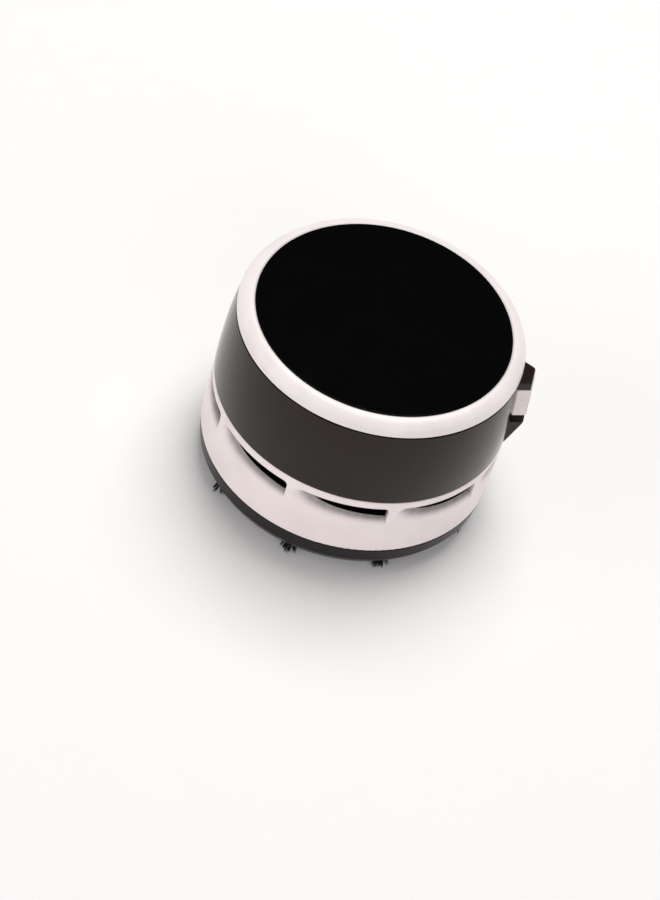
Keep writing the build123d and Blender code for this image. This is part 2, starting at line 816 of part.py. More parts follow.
def wire_battery():
    """Wire from the plus contact to the upper switch pin."""
    start = solder_point(1)
    end = Vector(bracket_x - pin_reach, 0, pin_height(1))
    bend_x = min(start.X, end.X) - wire_lead
    return wire_along(start, (bend_x, start.Y, start.Z), (bend_x, 0, end.Z), end)


def wire_switch():
    """Wire from the lower switch pin up to the motor's near terminal."""
    start = Vector(bracket_x - pin_reach, 0, pin_height(-1))
    rise_x = motor_r + wire_lead
    end = Vector(motor_r * terminal_place_share + terminal_t / 2, 0, bell_top_z + terminal_h / 2)
    return wire_along(start, (rise_x, 0, start.Z), (rise_x, 0, end.Z), end)


def wire_motor():
    """Wire from the minus contact over the motor to its far terminal."""
    start = solder_point(-1)
    end = Vector(-motor_r * terminal_place_share, -terminal_w / 2, bell_top_z + terminal_h / 2)
    turn = Vector(motor_r + wire_lead, start.Y, start.Z)
    over = Vector(motor_r / 2, start.Y, end.Z)
    return wire_along(start, turn, over, (end.X, start.Y, end.Z), end)


nodes = {
    "top_disc": top_disc(),
    "top_cover": top_cover(),
    "body_band": body_band(),
    "vent_housing": vent_housing(),
    "base_cover": base_cover(),
    "filter_frame": filter_frame(),
    "filter_felt": filter_felt(),
    "dust_seal": dust_seal(),
    "fan_deck": fan_deck(),
    "deck_screws": deck_screws(),
    "impeller": impeller(),
    "motor_shaft": motor_shaft(),
    "motor_can": motor_can(),
    "motor_bush": motor_bush(),
    "motor_end_bell": motor_end_bell(),
    "motor_terminals": motor_terminals(),
    "motor_screws": motor_screws(),
    "chassis": chassis(),
    "housing_screws": housing_screws(),
    "band_screws": band_screws(),
    "battery_left": battery(1),
    "battery_right": battery(-1),
    "contact_positive": contact_with_tab(1),
    "contact_negative": contact_with_tab(-1),
    "contact_bridge": contact_bridge(),
    "switch_body": switch_body(),
    "switch_lever": switch_lever(),
    "switch_knob": switch_knob(),
    "wire_battery": wire_battery(),
    "wire_switch": wire_switch(),
    "wire_motor": wire_motor(),
}
for number, tuft in enumerate(around(bristle_tuft(), tuft_count, tuft_phase), start=1):
    nodes[f"bristle_tuft_{number}"] = tuft

os.makedirs("parts", exist_ok=True)
for name, shape in nodes.items():
    export_step(Rot(0, 0, switch_turn) * shape, f"parts/{name}.step")
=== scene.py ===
import json
import math
import random

import bmesh
import bpy
from mathutils import Matrix, Vector, noise


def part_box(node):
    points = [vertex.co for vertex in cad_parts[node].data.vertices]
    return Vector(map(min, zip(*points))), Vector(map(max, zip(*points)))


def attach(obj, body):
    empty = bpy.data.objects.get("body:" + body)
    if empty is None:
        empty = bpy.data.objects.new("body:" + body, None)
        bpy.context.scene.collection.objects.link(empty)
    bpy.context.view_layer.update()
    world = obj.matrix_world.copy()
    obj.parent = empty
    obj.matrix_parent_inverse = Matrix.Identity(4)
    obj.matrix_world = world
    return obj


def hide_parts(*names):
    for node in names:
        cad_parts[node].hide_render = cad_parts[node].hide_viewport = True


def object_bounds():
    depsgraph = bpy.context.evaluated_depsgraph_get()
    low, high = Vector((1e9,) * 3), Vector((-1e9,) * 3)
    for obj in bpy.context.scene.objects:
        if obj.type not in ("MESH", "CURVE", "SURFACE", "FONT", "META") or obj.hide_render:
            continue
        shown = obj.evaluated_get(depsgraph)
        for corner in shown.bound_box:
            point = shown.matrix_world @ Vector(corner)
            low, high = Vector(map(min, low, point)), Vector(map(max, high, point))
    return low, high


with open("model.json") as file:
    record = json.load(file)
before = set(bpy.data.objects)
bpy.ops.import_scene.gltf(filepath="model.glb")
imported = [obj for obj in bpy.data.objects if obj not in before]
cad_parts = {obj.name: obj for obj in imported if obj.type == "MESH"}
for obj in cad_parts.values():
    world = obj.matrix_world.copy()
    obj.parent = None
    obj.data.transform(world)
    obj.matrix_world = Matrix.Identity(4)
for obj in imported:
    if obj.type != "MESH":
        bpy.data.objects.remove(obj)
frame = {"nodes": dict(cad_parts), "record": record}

bl_info = {
    "name": "Desktop vacuum cleaner",
    "version": (1, 0, 0),
    "blender": (4, 5, 0),
    "location": "View3D > Sidebar > Vacuum",
    "description": "Gives the packed vacuum cleaner its finishes, bristles, felt and studio",
    "category": "Object",
}

# Lengths are in metres, as in the frame, and millimetres are written with this unit.
MM = 0.001
CAD_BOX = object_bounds()

# Names of the shared node groups
SKIN = "Moulded skin"
EDGES = "Rubbed edges"
DUST = "Settled dust"
MARKS = "Hand marks"
BRUSHING = "Brushed streaks"
CELL = "Battery ends"

# Level that noise varies around
NOISE_MIDDLE = 0.5

# Colour that edges of dark mouldings inside are rubbed to
DARK_RUB = (0.12, 0.12, 0.12)

# Picture side that the camera's lens is written for, in millimetres
SENSOR_WIDTH = 36

# Seed of the felt's loose fibres
FELT_SEED = 7


def node_middle(name):
    """Middle of a CAD node's box."""
    low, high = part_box(name)
    return (low + high) / 2


def node_radius(name):
    """Radius of a round CAD node that stands on the part's axis."""
    low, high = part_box(name)
    return (high.x - low.x) / 2


# Places that the frame gives
TUFT_COUNT = sum(name.startswith("bristle_tuft_") for name in frame["nodes"])
BASE_LOW_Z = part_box("base_cover")[0].z
SWITCH_DIRECTION = node_middle("switch_knob").to_2d().to_3d().normalized()


def slot_colour(slot):
    """Colour that the packed record gives a material slot."""
    return next(m["base_color"] for m in frame["record"]["materials"] if m["slot"] == slot)


def colour_property(name, description, default):
    """Colour swatch for a finish."""
    return bpy.props.FloatVectorProperty(
        name=name, description=description, subtype="COLOR", size=3, min=0, max=1, default=default)


def share_property(name, description, default):
    """Slider from nothing to full."""
    return bpy.props.FloatProperty(
        name=name, description=description, subtype="FACTOR", min=0, max=1, default=default)


def length_property(name, description, default):
    """Length in the scene's units."""
    return bpy.props.FloatProperty(
        name=name, description=description, unit="LENGTH", subtype="DISTANCE", precision=5, default=default)


def angle_property(name, description, degrees):
    """Angle that is written in degrees."""
    return bpy.props.FloatProperty(
        name=name, description=description, unit="ROTATION", subtype="ANGLE", default=math.radians(degrees))


def place_property(name, description, default):
    """Place in the scene's units."""
    return bpy.props.FloatVectorProperty(
        name=name, description=description, unit="LENGTH", subtype="TRANSLATION", size=3, default=default)


def power_property(name, description, default):
    """Power of a lamp in watts."""
    return bpy.props.FloatProperty(name=name, description=description, unit="POWER", min=0, default=default)


def number_property(name, description, default):
    """Plain number."""
    return bpy.props.FloatProperty(name=name, description=description, min=0, default=default)


def count_property(name, description, default, fewest):
    """Whole number with a lower limit."""
    return bpy.props.IntProperty(name=name, description=description, min=fewest, default=default)


class ShellFinishes(bpy.types.PropertyGroup):
    """Colours and shine of the outer mouldings."""

    cover_white: colour_property("Cover", "White of the ring round the top disc", (0.9, 0.845, 0.84))
    # The housing's white is pinker than the cover's, which is a painted warm bounce light on the same white
    # plastic.
    housing_white: colour_property("Housing", "White of the vent housing", (0.9, 0.81, 0.805))
    knob_white: colour_property("Knob", "White of the slide knob", (0.9, 0.82, 0.8))
    white_rub: colour_property("Rubbed white", "Rubbed edges of the white mouldings", (0.7, 0.66, 0.64))
    # The band's black is tinted red as a painted warm reflection.
    band_black: colour_property("Band", "Black of the polished band", (0.0115, 0.0048, 0.0048))
    disc_black: colour_property("Disc", "Black of the top disc", (0.0006, 0.0006, 0.0006))
    base_black: colour_property("Base", "Black of the base", (0.01, 0.0076, 0.0074))
    base_rub: colour_property("Rubbed base", "Rubbed edges of the base", (0.08, 0.075, 0.075))
    housing_wall: length_property("Housing wall", "Thickness of the vent housing's wall", 1.6 * MM)
    # The vent film is painted shade: a grey that darkens the vents' scoops towards their slits, where shade
    # falls under the overhang.
    vent_shade: share_property("Vent film", "Grey film that the exhaust air leaves in the vents", 0.74)
    vent_shade_grey: colour_property("Film", "Colour of the film in the vents", (0.07, 0.065, 0.064))
    # The inner face's near-black is painted shade inside the white housing.
    inner_shade_black: colour_property("Inner face", "Colour inside the vent housing", (0.012, 0.0115, 0.011))
    white_roughness: share_property("White roughness", "Roughness of the white mouldings", 0.34)
    band_roughness: share_property("Band roughness", "Roughness of the polished band", 0.13)
    disc_roughness: share_property("Disc roughness", "Roughness of the top disc", 0.12)
    base_roughness: share_property("Base roughness", "Roughness of the base", 0.3)
    band_shine: share_property("Band shine", "Reflection of the polished band", 0.29)
    disc_shine: share_property("Disc shine", "Reflection of the top disc", 0.05)
    base_shine: share_property("Base shine", "Reflection of the base", 0.26)


class BristleSizes(bpy.types.PropertyGroup):
    """Sizes of the bristle tufts."""

    strands: count_property("Strands", "Strands in a tuft", 120, fewest=10)
    strand_d: length_property("Strand", "Thickness of a strand at its root", 0.3 * MM)
    locks: count_property("Locks", "Pointed locks in a tuft", 11, fewest=3)
    splay: number_property("Splay", "How much a tuft widens to its tip", 2.55)
    ragged: length_property("Ragged", "How much the strands differ in length", 1.1 * MM)
    gather: share_property("Gather", "How much the strands draw together into locks", 0.62)
    nearest: share_property("Nearest", "Reach of the nearest lock beside the furthest", 0.45)
    stray: length_property("Stray", "How far a strand strays from its lock", 0.22 * MM)
    bow: share_property("Bow", "Bow of a strand beside its sideways run", 0.22)
    plug_r: length_property("Plug", "Radius of the plug that holds a tuft", 1.5 * MM)
    plug_rim: length_property("Plug rim", "Bevel of the plug's edges", 0.2 * MM)
    plug_inset: length_property("Plug inset", "Plug's end above the base's lower edge", 0.6 * MM)
    field: share_property("Field", "Share of the plug's radius that strands fill", 0.82)
    root_depth: length_property("Root depth", "Depth of the strands in the plug", 0.4 * MM)
    colour: colour_property("Bristles", "Colour of the nylon", (0.004, 0.0037, 0.0037))


class FeltSizes(bpy.types.PropertyGroup):
    """Sizes of the felt disc."""

    nap: length_property("Nap", "Height of the felt's uneven face", 0.12 * MM)
    rounding: length_property("Rounding", "Softness of the felt's rim", 0.3 * MM)
    fibres: count_property("Fibres", "Loose fibres on the felt", 900, fewest=0)
    fibre_l: length_property("Fibre length", "Length of a loose fibre", 1.6 * MM)
    fibre_shortest: share_property("Shortest fibre", "Shortest fibre beside the longest", 0.5)
    fibre_d: length_property("Fibre thickness", "Thickness of a loose fibre", 0.06 * MM)
    fibre_lift: length_property("Fibre lift", "Height of a loose fibre's bow", 0.3 * MM)
    fibre_curl: share_property("Fibre curl", "Sideways bow of a fibre beside its length", 0.4)
    fibre_field: share_property("Fibre field", "Share of the disc's radius with fibres", 0.97)
    colour: colour_property("Felt", "Colour of the felt", (0.62, 0.61, 0.58))


class InnerFinishes(bpy.types.PropertyGroup):
    """Colours of the pieces inside."""

    frame_white: colour_property("Filter frame", "Filter's spoked frame", slot_colour("frame_white"))
    seal_rubber: colour_property("Seal", "Colour of the rubber seal", (0.02, 0.02, 0.02))
    deck_grey: colour_property("Fan deck", "Colour of the wall under the fan", (0.016, 0.016, 0.017))
    impeller_grey: colour_property("Impeller", "Colour of the fan wheel", (0.02, 0.02, 0.021))
    chassis_grey: colour_property("Chassis", "Colour of the chassis", (0.022, 0.022, 0.023))
    steel: colour_property("Steel", "Colour of the shaft", slot_colour("shaft_steel"))
    zinc: colour_property("Zinc", "Colour of the motor can and the screws", slot_colour("motor_steel"))
    bronze: colour_property("Bronze", "Colour of the motor's bush", slot_colour("bush_bronze"))
    brass: colour_property("Brass", "Colour of the motor's terminals", slot_colour("terminal_brass"))
    nickel: colour_property("Nickel", "Colour of the battery contacts", slot_colour("contact_nickel"))
    bell_black: colour_property("End cap", "Colour of the motor's end cap", (0.03, 0.03, 0.03))
    sleeve: colour_property("Sleeve", "Colour of the plain battery sleeve", (0.03, 0.085, 0.05))
    sleeve_band: colour_property("Sleeve band", "Band at the plus end", (0.55, 0.56, 0.55))
    cell_steel: colour_property("Cell", "Bare steel at the battery's ends", (0.6, 0.59, 0.57))
    wire_red: colour_property("Red wire", "Wire from the battery", slot_colour("wire_red"))
    wire_white: colour_property("White wire", "Wire from the switch", slot_colour("wire_white"))
    wire_black: colour_property("Black wire", "Wire to the motor", slot_colour("wire_black"))


class StudioSettings(bpy.types.PropertyGroup):
    """Camera, lamps, floor and sky. A lamp's place is turned with the camera's azimuth."""

    azimuth: angle_property("Azimuth", "Direction of the camera round the part", -46.0)
    elevation: angle_property("Elevation", "Height of the camera above the horizon", 46.22)
    roll: angle_property("Roll", "Tilt of the picture", 17.75)
    distance: length_property("Distance", "Camera to the middle of the base's lower edge", 995.7 * MM)
    aside: length_property("Aside", "Camera moved along the picture's width", -3.3 * MM)
    raised: length_property("Raised", "Camera moved along the picture's height", 0.7 * MM)
    lens: bpy.props.FloatProperty(
        name="Lens", description="Focal length for the picture side", unit="CAMERA", default=138.1)
    key_place: place_property("Key place", "Place of the overhead lamp", (0.02, 0.3, 0.93))
    left_place: place_property("Left place", "Place of the lamp at the front left", (-0.75, -0.55, 0.4))
    right_place: place_property("Right place", "Place of the lamp at the front right", (0.4, -0.88, 0.4))
    key_size: length_property("Key size", "Side of the overhead lamp", 0.6)
    side_size: length_property("Side size", "Side of the two front lamps", 0.9)
    key_power: power_property("Key", "Power of the overhead lamp", 6.5)
    left_power: power_property("Left", "Power of the lamp at the front left", 2.5)
    right_power: power_property("Right", "Power of the lamp at the front right", 2.3)
    key_colour: colour_property("Key colour", "Light of the overhead lamp", (1.0, 0.985, 0.97))
    side_colour: colour_property("Side colour", "Light of the two front lamps", (1.0, 0.98, 0.97))
    floor_r: length_property("Floor radius", "Radius of the round floor", 6.0)
    floor_colour: colour_property("Floor", "Colour of the floor", (0.945, 0.942, 0.94))
    floor_lift: share_property("Floor lift", "White added to the floor where it is looked at", 0.05)
    sky_colour: colour_property("Sky", "Colour of the sky", (1.0, 0.97, 0.97))
    sky_low: number_property("Low sky", "Brightness of the sky at the horizon", 0.75)
    sky_high: number_property("High sky", "Brightness of the sky overhead", 0.24)


def add_node(tree, kind, inputs=None, **settings):
    """New node with its settings, and its inputs filled with values or linked from sockets."""
    node = tree.nodes.new(kind)
    for name, value in settings.items():
        setattr(node, name, value)
    for key, value in (inputs or {}).items():
        if isinstance(value, bpy.types.NodeSocket):
            tree.links.new(value, node.inputs[key])
        else:
            node.inputs[key].default_value = value
    return node


def calculate(tree, operation, *values):
    """Output of a math node."""
    return add_node(tree, "ShaderNodeMath", dict(enumerate(values)), operation=operation).outputs[0]


def calculate_vector(tree, operation, output, *vectors):
    """Output of a vector math node: its vector or its value."""
    inputs = dict(enumerate(vectors))
    return add_node(tree, "ShaderNodeVectorMath", inputs, operation=operation).outputs[output]


def spread(tree, value, low, high, to_low=0.0, to_high=1.0):
    """Value moved from one range to another, clamped and smooth at both ends."""
    ranges = {"Value": value, "From Min": low, "From Max": high, "To Min": to_low, "To Max": to_high}
    return add_node(tree, "ShaderNodeMapRange", ranges, interpolation_type="SMOOTHSTEP").outputs["Result"]


def mix_colours(tree, share, first, second, blend="MIX"):
    """Output of a colour mix; a plain colour gets full alpha."""
    sides = [side if isinstance(side, bpy.types.NodeSocket) else (*side, 1) for side in (first, second)]
    inputs = {"Factor": share, 6: sides[0], 7: sides[1]}
    return add_node(tree, "ShaderNodeMix", inputs, data_type="RGBA", blend_type=blend).outputs[2]


def object_place(tree):
    """Place on the piece, which moves with it."""
    return tree.nodes.new("ShaderNodeTexCoord").outputs["Object"]


def noise_value(tree, scale, detail, vector=None, distortion=0.0):
    """Noise from 0 to 1, with the scale in waves a metre."""
    place = vector or object_place(tree)
    inputs = {"Vector": place, "Scale": scale, "Detail": detail, "Distortion": distortion}
    return add_node(tree, "ShaderNodeTexNoise", inputs).outputs["Fac"]


def noise_mask(tree, scale, detail, low, high, to_low=0.0, to_high=1.0, distortion=0.0):
    """Patches of noise, whose levels between low and high are spread over a new range."""
    value = noise_value(tree, scale, detail, distortion=distortion)
    return spread(tree, value, low, high, to_low, to_high)


def new_group(name, inputs, outputs):
    """Empty shader group with named sockets, and the nodes at its two ends."""
    tree = bpy.data.node_groups.new(name, "ShaderNodeTree")
    for socket_name, kind, default in inputs:
        tree.interface.new_socket(socket_name, in_out="INPUT", socket_type=kind).default_value = default
    for socket_name, kind in outputs:
        tree.interface.new_socket(socket_name, in_out="OUTPUT", socket_type=kind)
    return tree, tree.nodes.new("NodeGroupInput").outputs, tree.nodes.new("NodeGroupOutput").inputs


def skin_group():
    """Fine moulded grain with a faint unevenness in colour and shine."""
    tree, given, result = new_group(
        SKIN,
        [("Colour", "NodeSocketColor", (0.5, 0.5, 0.5, 1)), ("Roughness", "NodeSocketFloat", 0.4),
         ("Grain", "NodeSocketFloat", 2500.0), ("Mottle", "NodeSocketFloat", 0.5)],
        [("Colour", "NodeSocketColor"), ("Roughness", "NodeSocketFloat"), ("Height", "NodeSocketFloat")])
    cloud_tint = (0.86, 0.85, 0.84)
    cloud_change, grain_change = 0.25, 0.12
    cloud = noise_value(tree, scale=85.0, detail=4.0)
    grain = noise_value(tree, given["Grain"], detail=3.0)
    shade = calculate(tree, "MULTIPLY", spread(tree, cloud, low=0.35, high=0.75), given["Mottle"])
    darker = mix_colours(tree, 1.0, given["Colour"], cloud_tint, blend="MULTIPLY")
    tree.links.new(mix_colours(tree, shade, given["Colour"], darker), result["Colour"])
    changes = [calculate(tree, "MULTIPLY", calculate(tree, "SUBTRACT", value, NOISE_MIDDLE), change)
               for value, change in ((cloud, cloud_change), (grain, grain_change))]
    uneven = calculate(tree, "MULTIPLY", calculate(tree, "ADD", *changes), given["Mottle"])
    tree.links.new(calculate(tree, "ADD", given["Roughness"], uneven), result["Roughness"])
    tree.links.new(grain, result["Height"])


def edges_group():
    """Softened edges: a rounded normal, and a mask where handling has rubbed them."""
    tree, given, result = new_group(
        EDGES,
        [("Width", "NodeSocketFloat", 0.2 * MM), ("Amount", "NodeSocketFloat", 0.5)],
        [("Mask", "NodeSocketFloat"), ("Normal", "NodeSocketVector")])
    soft = add_node(tree, "ShaderNodeBevel", {"Radius": given["Width"]}, samples=6).outputs["Normal"]
    true = tree.nodes.new("ShaderNodeNewGeometry").outputs["Normal"]
    same = calculate_vector(tree, "DOT_PRODUCT", "Value", soft, true)
    edge = spread(tree, calculate(tree, "SUBTRACT", 1.0, same), low=0.02, high=0.28)
    patchy = noise_mask(tree, scale=700.0, detail=4.0, low=0.4, high=0.65)
    mask = calculate(tree, "MULTIPLY", calculate(tree, "MULTIPLY", edge, patchy), given["Amount"])
    tree.links.new(mask, result["Mask"])
    tree.links.new(soft, result["Normal"])


def dust_group():
    """Specks of dust on the faces that look up."""
    tree, given, result = new_group(
        DUST, [("Amount", "NodeSocketFloat", 0.2)], [("Mask", "NodeSocketFloat")])
    facing = tree.nodes.new("ShaderNodeNewGeometry").outputs["Normal"]
    up = add_node(tree, "ShaderNodeSeparateXYZ", {"Vector": facing}).outputs["Z"]
    level = spread(tree, up, low=0.4, high=0.95)
    specks = noise_mask(tree, scale=1500.0, detail=5.0, low=0.62, high=0.74)
    patches = noise_mask(tree, scale=120.0, detail=3.0, low=0.35, high=0.7)
    lying = calculate(tree, "MULTIPLY", level, calculate(tree, "MULTIPLY", specks, patches))
    tree.links.new(calculate(tree, "MULTIPLY", lying, given["Amount"]), result["Mask"])


def marks_group():
    """Faint smears that hands leave on a polished face."""
    tree, given, result = new_group(
        MARKS, [("Amount", "NodeSocketFloat", 0.3)], [("Mask", "NodeSocketFloat")])
    smears = noise_mask(tree, scale=55.0, detail=5.0, low=0.46, high=0.72, distortion=1.4)
    lines = noise_mask(tree, scale=900.0, detail=2.0, low=0.3, high=0.7, to_low=0.55, distortion=2.0)
    mask = calculate(tree, "MULTIPLY", calculate(tree, "MULTIPLY", smears, lines), given["Amount"])
    tree.links.new(mask, result["Mask"])


def brushing_group():
    """Streaks along one direction of a metal face."""
    tree, given, result = new_group(
        BRUSHING, [("Stretch", "NodeSocketVector", (1.0, 1.0, 0.05))], [("Streak", "NodeSocketFloat")])
    stretched = calculate_vector(tree, "MULTIPLY", "Vector", object_place(tree), given["Stretch"])
    tree.links.new(noise_value(tree, scale=2600.0, detail=4.0, vector=stretched), result["Streak"])


def cell_group():
    """Masks for a battery: the bare steel at both ends, and the sleeve's band at the plus end."""
    tree, given, result = new_group(
        CELL,
        [("Plus end", "NodeSocketVector", (1.0, 0.0, 0.0)), ("Half length", "NodeSocketFloat", 25.0 * MM)],
        [("Ends", "NodeSocketFloat"), ("Band", "NodeSocketFloat")])
    bare_l, band_l, fade = 1.8 * MM, 14.9 * MM, 0.1 * MM
    place = calculate_vector(tree, "DOT_PRODUCT", "Value", object_place(tree), given["Plus end"])
    past_end = calculate(tree, "SUBTRACT", calculate(tree, "ABSOLUTE", place), given["Half length"])
    past_plus_end = calculate(tree, "SUBTRACT", place, given["Half length"])
    tree.links.new(spread(tree, past_end, -bare_l - fade, -bare_l), result["Ends"])
    tree.links.new(spread(tree, past_plus_end, -band_l - fade, -band_l), result["Band"])


def group_in(tree, name, inputs):
    """Outputs of a shared group placed in a material with its own values."""
    return add_node(tree, "ShaderNodeGroup", inputs, node_tree=bpy.data.node_groups[name]).outputs


def skin_in(tree, colour, roughness, grain, mottle):
    """Outputs of the moulded skin in a material, with its grain in waves a metre."""
    inputs = {"Colour": (*colour, 1), "Roughness": roughness, "Grain": grain, "Mottle": mottle}
    return group_in(tree, SKIN, inputs)


def edges_in(tree, width, rubbed=0.0):
    """Outputs of the softened edges in a material."""
    return group_in(tree, EDGES, {"Width": width, "Amount": rubbed})


def mask_in(tree, name, amount):
    """Mask of a shared group in a material."""
    return group_in(tree, name, {"Amount": amount})["Mask"]


def new_material(name, **sockets):
    """Material with a Principled shader and its constant values."""
    material = bpy.data.materials.new(name)
    material.use_nodes = True
    tree = material.node_tree
    tree.nodes.clear()
    shader = tree.nodes.new("ShaderNodeBsdfPrincipled")
    output = tree.nodes.new("ShaderNodeOutputMaterial")
    tree.links.new(shader.outputs["BSDF"], output.inputs["Surface"])
    for key, value in sockets.items():
        shader.inputs[key.replace("_", " ")].default_value = value
    return material, tree, shader.inputs


def dull(tree, roughness, mask, amount):
    """Roughness that is raised by an amount where a mask is full."""
    return calculate(tree, "MULTIPLY_ADD", mask, amount, roughness)


def set_relief(tree, shader, height, depth, normal):
    """Bump of a real depth on the shader's normal."""
    bump = {"Strength": 1.0, "Distance": depth, "Height": height, "Normal": normal}
    tree.links.new(add_node(tree, "ShaderNodeBump", bump).outputs["Normal"], shader["Normal"])


def moulding(name, colour, roughness, rub=(0.5, 0.5, 0.5), rubbed=0.3, dust=0.25, shine=0.5, grain=2400.0,
             depth=0.006 * MM):
    """Moulded plastic: fine skin, softened and rubbed edges, a little dust."""
    dust_colour = (0.55, 0.52, 0.5)
    material, tree, shader = new_material(name, Specular_IOR_Level=shine)
    skin = skin_in(tree, colour, roughness, grain, mottle=0.5)
    edges = edges_in(tree, width=0.22 * MM, rubbed=rubbed)
    specks = mask_in(tree, DUST, dust)
    worn = mix_colours(tree, edges["Mask"], skin["Colour"], rub)
    tree.links.new(mix_colours(tree, specks, worn, dust_colour), shader["Base Color"])
    tree.links.new(dull(tree, skin["Roughness"], specks, amount=0.4), shader["Roughness"])
    set_relief(tree, shader, skin["Height"], depth, edges["Normal"])
    return material


def add_vent_shade(material, outer_r, look):
    """Paints shade in the vents of a moulding as a grey film, which thickens inwards, and paints its inner
    face dark as shade.
    """
    # Depths under the outer face, in thicknesses of the wall
    shade_starts, shade_full = 0.025, 0.75
    inside_starts, inside_full = 1.0, 1.15
    tree = material.node_tree
    base = tree.nodes["Principled BSDF"].inputs["Base Color"]
    clean = base.links[0].from_socket
    flat = calculate_vector(tree, "MULTIPLY", "Vector", object_place(tree), (1, 1, 0))
    radius = calculate_vector(tree, "LENGTH", "Value", flat)
    depth = calculate(tree, "DIVIDE", calculate(tree, "SUBTRACT", outer_r, radius), look.housing_wall)
    thickness = spread(tree, depth, shade_starts, shade_full, to_high=look.vent_shade)
    uneven = noise_mask(tree, scale=420.0, detail=4.0, low=0.3, high=0.7, to_low=0.85)
    # Painted shade in the scoops, a little uneven, that deepens towards the slit.
    film = calculate(tree, "MULTIPLY", thickness, uneven)
    # The inside of the housing is painted near-black as shade.
    inside = spread(tree, depth, inside_starts, inside_full)
    shaded = mix_colours(tree, film, clean, look.vent_shade_grey)
    tree.links.new(mix_colours(tree, inside, shaded, look.inner_shade_black), base)


def polished(name, colour, roughness, shine, marks, rubbed, dust):
    """Polished plastic with faint hand marks, rubbed edges and specks of dust."""
    rub = (0.09, 0.085, 0.085)
    dust_colour = (0.3, 0.29, 0.28)
    material, tree, shader = new_material(name, Specular_IOR_Level=shine)
    skin = skin_in(tree, colour, roughness, grain=420.0, mottle=0.25)
    edges = edges_in(tree, width=0.18 * MM, rubbed=rubbed)
    smears = mask_in(tree, MARKS, marks)
    specks = mask_in(tree, DUST, dust)
    worn = mix_colours(tree, edges["Mask"], skin["Colour"], rub)
    tree.links.new(mix_colours(tree, specks, worn, dust_colour), shader["Base Color"])
    smeared = dull(tree, skin["Roughness"], smears, amount=0.22)
    tree.links.new(dull(tree, smeared, specks, amount=0.3), shader["Roughness"])
    set_relief(tree, shader, skin["Height"], 0.002 * MM, edges["Normal"])
    return material


def metal(name, colour, roughness, streak_z):
    """Bare or plated metal with streaks, which run along z below a streak_z of 1 and round z above."""
    tarnish = (0.12, 0.115, 0.11)
    brightening = 1.25
    material, tree, shader = new_material(name, Metallic=1.0)
    streak = group_in(tree, BRUSHING, {"Stretch": (1.0, 1.0, streak_z)})["Streak"]
    skin = skin_in(tree, colour, roughness, grain=1800.0, mottle=0.8)
    edges = edges_in(tree, width=0.12 * MM, rubbed=0.4)
    streaked = spread(tree, streak, low=0.35, high=0.7, to_high=0.35)
    dark = mix_colours(tree, streaked, skin["Colour"], tarnish)
    bright = tuple(min(1.0, channel * brightening) for channel in colour)
    tree.links.new(mix_colours(tree, edges["Mask"], dark, bright), shader["Base Color"])
    tree.links.new(dull(tree, skin["Roughness"], streak, amount=0.16), shader["Roughness"])
    set_relief(tree, shader, streak, 0.004 * MM, edges["Normal"])
    return material


def nylon(name, colour):
    """Black bristle nylon, a little paler in places along its length."""
    paler = (0.01, 0.0095, 0.0095)
    material, tree, shader = new_material(name, Specular_IOR_Level=0.15)
    skin = skin_in(tree, colour, roughness=0.42, grain=6000.0, mottle=1.0)
    patches = noise_mask(tree, scale=2200.0, detail=2.0, low=0.45, high=0.75, to_high=0.6)
    tree.links.new(mix_colours(tree, patches, skin["Colour"], paler), shader["Base Color"])
    tree.links.new(skin["Roughness"], shader["Roughness"])
    edges = edges_in(tree, width=0.05 * MM)
    set_relief(tree, shader, skin["Height"], 0.004 * MM, edges["Normal"])
    return material


def felt_cloth(name, colour):
    """Pressed felt: matted fibres with painted shade in the pits of its relief, and a soft sheen."""
    pit_shade_colour = (0.3, 0.29, 0.27)
    material, tree, shader = new_material(
        name, Sheen_Weight=0.35, Sheen_Roughness=0.6, Specular_IOR_Level=0.2)
    skin = skin_in(tree, colour, roughness=0.9, grain=5200.0, mottle=1.0)
    matted = noise_value(tree, scale=1500.0, detail=6.0, distortion=3.0)
    # The pits, where the bump is lowest, are darkened as painted shade.
    pits = spread(tree, matted, low=0.38, high=0.6, to_low=0.55, to_high=0.0)
    tree.links.new(mix_colours(tree, pits, skin["Colour"], pit_shade_colour), shader["Base Color"])
    tree.links.new(skin["Roughness"], shader["Roughness"])
    edges = edges_in(tree, width=0.1 * MM)
    set_relief(tree, shader, matted, 0.1 * MM, edges["Normal"])
    return material


def battery_skin(name, look, plus_end, half_length):
    """Plain shrink sleeve with a paler band at the plus end, and bare steel at both ends."""
    material, tree, shader = new_material(name)
    cell = group_in(tree, CELL, {"Plus end": plus_end, "Half length": half_length})
    skin = skin_in(tree, look.sleeve, roughness=0.28, grain=900.0, mottle=0.6)
    edges = edges_in(tree, width=0.2 * MM)
    wrapped = mix_colours(tree, cell["Band"], skin["Colour"], look.sleeve_band)
    tree.links.new(mix_colours(tree, cell["Ends"], wrapped, look.cell_steel), shader["Base Color"])
    tree.links.new(cell["Ends"], shader["Metallic"])
    tree.links.new(skin["Roughness"], shader["Roughness"])
    set_relief(tree, shader, skin["Height"], 0.006 * MM, edges["Normal"])
    return material


def floor_surface(name, colour, lift):
    """Pale table top with a barely seen unevenness, lifted a little to white where it is looked at."""
    material, tree, shader = new_material(name, Specular_IOR_Level=0.15, Emission_Color=(1, 1, 1, 1))
    skin = skin_in(tree, colour, roughness=0.55, grain=300.0, mottle=0.02)
    tree.links.new(skin["Colour"], shader["Base Color"])
    tree.links.new(skin["Roughness"], shader["Roughness"])
    rays = tree.nodes.new("ShaderNodeLightPath").outputs
    seen = calculate(tree, "MAXIMUM", rays["Is Camera Ray"], rays["Is Glossy Ray"])
    seen = calculate(tree, "MAXIMUM", seen, rays["Is Transmission Ray"])
    tree.links.new(calculate(tree, "MULTIPLY", seen, lift), shader["Emission Strength"])
    return material


def finish(material, *names):
    """Puts a material on CAD nodes, in place of the one they came with."""
    for name in names:
        mesh = frame["nodes"][name].data
        mesh.materials.clear()
        mesh.materials.append(material)


